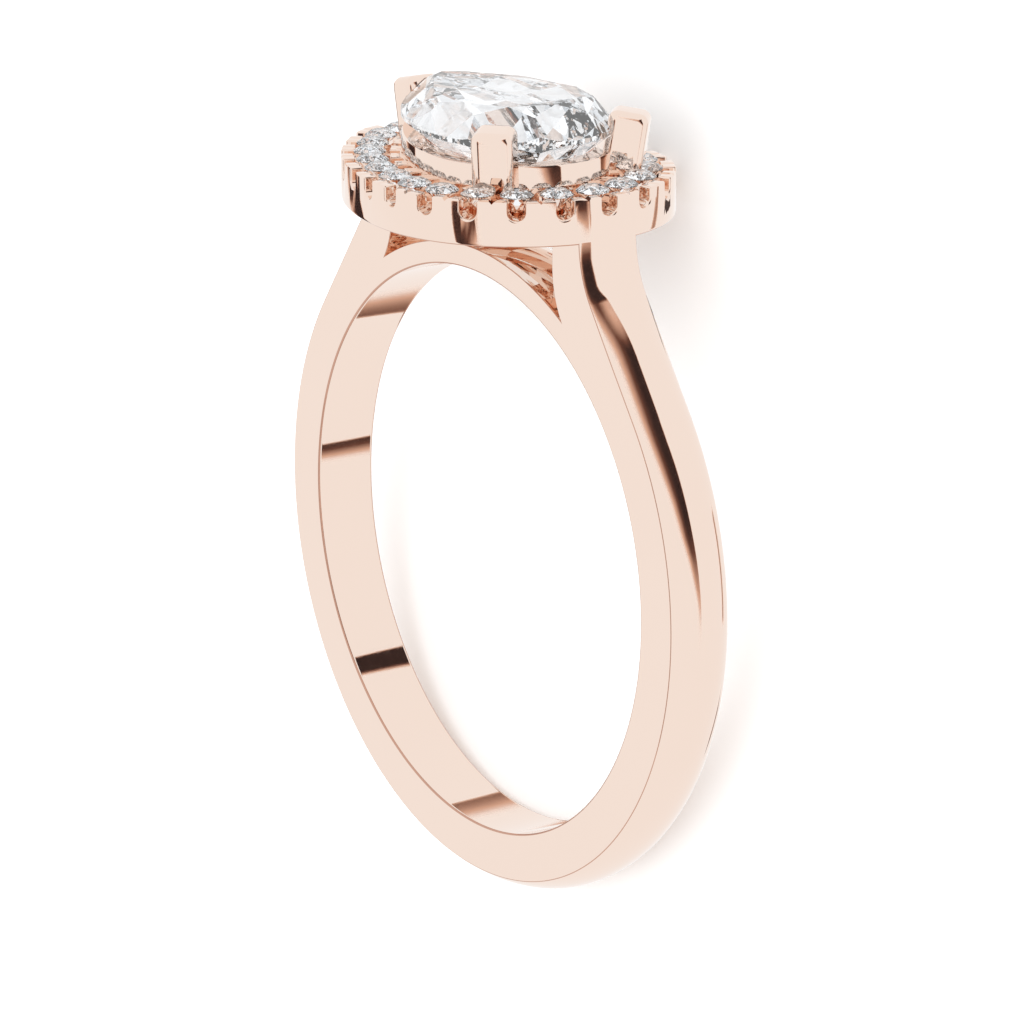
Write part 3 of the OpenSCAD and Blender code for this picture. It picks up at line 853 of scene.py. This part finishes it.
def dark_card(name, rungs, soft, material, amount, middle, far=CARD_FAR):
    """Dark card beside the ring, which only the polished metal and the stones see.

    It is drawn as a ladder in compass directions seen from middle, far millimetres away: each
    rung runs from one long side to the other. soft is the share of the card that fades out at
    its first and second long side, and at its first and last rung."""
    bm = bmesh.new()
    layers = bm.verts.layers.float
    across, upward, dark = layers.new("across"), layers.new("upward"), layers.new("dark")
    rails = []
    for i, rung in enumerate(rungs):
        rails.append([])
        for side, point in enumerate(rung):
            v = bm.verts.new((*point, 0))
            v[across], v[upward] = side, i / (len(rungs) - 1)
            rails[-1].append(v)
    for (a, b), (c, d) in zip(rails, rails[1:]):
        bmesh.ops.contextual_create(bm, geom=[a, b, d, c])
    bmesh.ops.subdivide_edges(bm, edges=bm.edges[:], cuts=23, use_grid_fill=True)
    for v in bm.verts:
        level = amount
        for inwards, width in zip((v[across], 1 - v[across], v[upward], 1 - v[upward]), soft):
            t = min(max(inwards / width, 0.0), 1.0)
            level *= t * t * (3 - 2 * t)
        v[dark] = level
        v.co = compass(v.co.x, v.co.y, far, middle)
    bmesh.ops.transform(bm, matrix=MM @ LAY, verts=bm.verts[:])
    card = stage_piece(bm, name, material)
    card.visible_camera = False
    card.visible_diffuse = False
    card.visible_shadow = False


def make_cards():
    """The dark bands that the metal mirrors. Their places suit the camera's view alone."""
    dark = card_material()
    dark_card("card_right", [((11, -30), (20, -30)), ((10, -20), (20, -20)),
                             ((8, -12), (19.5, -12)), ((-6, 0), (18.5, 0)), ((-18, 9), (17, 9)),
                             ((-28, 19), (16, 19)), ((-42, 28), (15, 28)), ((-56, 38), (13, 38)),
                             ((-62, 44), (14, 44)), ((-63, 49), (18, 49)), ((-63, 54), (24, 54)),
                             ((-55, 61), (28, 61))],
              (0.75, 0.05, 0.42, 0.12), dark, 1.0, (6, 0, 8))
    dark_card("card_front", [((-84, -50), (-60, -50)), ((-84, -13), (-60, -13)),
                             ((-85, 25), (-62, 25))],
              (0.06, 0.75, 0.05, 0.3), dark, 0.95, (3.5, -3.7, 10.8))
    dark_card("card_left", [((-189, -45), (-169, -45)), ((-189, -13), (-169.5, -13)),
                            ((-189, 12), (-171, 12))],
              (0.6, 0.08, 0.05, 0.3), dark, 1.0, (-1, -4.2, 10.7))
    dark_card("card_far", [((81, -25), (90, -25)), ((81, -5), (90, -5))],
              (0.4, 0.4, 0.1, 0.1), dark, 0.6, (5.1, 1.9, 11))
    # low ones, which the inside of the band mirrors as short dark bars
    dark_card("card_low_1", [((38, 49.2), (44, 54.2)), ((53, 40.8), (59, 45.8))],
              (0.1, 0.3, 0.05, 0.05), dark, 1.0, (-6.4, 0, -5.5), LOW_CARD_FAR)
    dark_card("card_low_2", [((29.4, -30.8), (27.4, -24.3)), ((41.6, -27.2), (39.6, -20.7))],
              (0.1, 0.85, 0.05, 0.05), dark, 0.9, (-8.4, 0, 0.8), LOW_CARD_FAR)
    dark_card("card_low_3", [((101.2, -52.2), (126.2, -40.2)), ((112.8, -61.8), (137.8, -49.8))],
              (0.06, 0.95, 0.05, 0.05), dark, 0.75, (-5.7, 0.2, 6.3), LOW_CARD_FAR)
    dark_card("card_low_4", [((134.8, 32), (140.8, 17)), ((147.2, 36), (153.2, 21))],
              (0.06, 0.95, 0.05, 0.05), dark, 0.7, (-0.5, 0, -8.4), LOW_CARD_FAR)


def studio_light():
    scene = bpy.context.scene
    world = bpy.data.worlds.new("studio")
    world.use_nodes = True
    world.node_tree.nodes["Background"].inputs["Color"].default_value = (1, 1, 1, 1)
    # what is not polished gets more of it, so that the table burns out to white
    nodes, links = world.node_tree.nodes, world.node_tree.links
    path = nodes.new('ShaderNodeLightPath')
    more = nodes.new('ShaderNodeMath')
    more.operation = 'MULTIPLY_ADD'
    more.inputs[1].default_value = TABLE_LIFT
    more.inputs[2].default_value = 1.0
    links.new(path.outputs["Is Diffuse Ray"], more.inputs[0])
    links.new(more.outputs["Value"], nodes["Background"].inputs["Strength"])
    scene.world = world
    scene.view_settings.view_transform = 'Standard'
    sun = bpy.data.lights.new("soft_sun", 'SUN')
    sun.energy = SUN_STRENGTH
    sun.angle = math.radians(60)
    lamp = bpy.data.objects.new("soft_sun", sun)
    lamp.matrix_world = Matrix.Rotation(math.radians(-28), 4, 'X') @ Matrix.Rotation(
        math.radians(24), 4, 'Y')
    lamp.visible_glossy = False
    lamp.visible_transmission = False
    scene.collection.objects.link(lamp)
    # light goes in and out of small hollows and stones many times
    scene.cycles.max_bounces = 20
    scene.cycles.glossy_bounces = 14
    scene.cycles.transmission_bounces = 18


# The ring
place_camera()
make_table()
make_cards()
studio_light()

metal = [make_shank(), make_halo(), make_collar()]
for side in (-1, 1):
    metal.append(make_claw("claw_left" if side < 0 else "claw_right",
                           side * math.radians(CLAW_ANGLE), ROUND_R + CLAW_OUT, CLAW_LEAN))
metal.append(make_claw("claw_point", math.pi, REACH, POINT_LEAN))
for piece in metal:
    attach(piece, "root")
    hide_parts("mount")

pear = make_centre_stone()
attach(pear, "root")
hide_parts("centre_stone")

for k in range(1, HALO_STONES + 1):
    stone = make_small_stone(k)
    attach(stone, "root")
    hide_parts("halo_stone_%02d" % k)
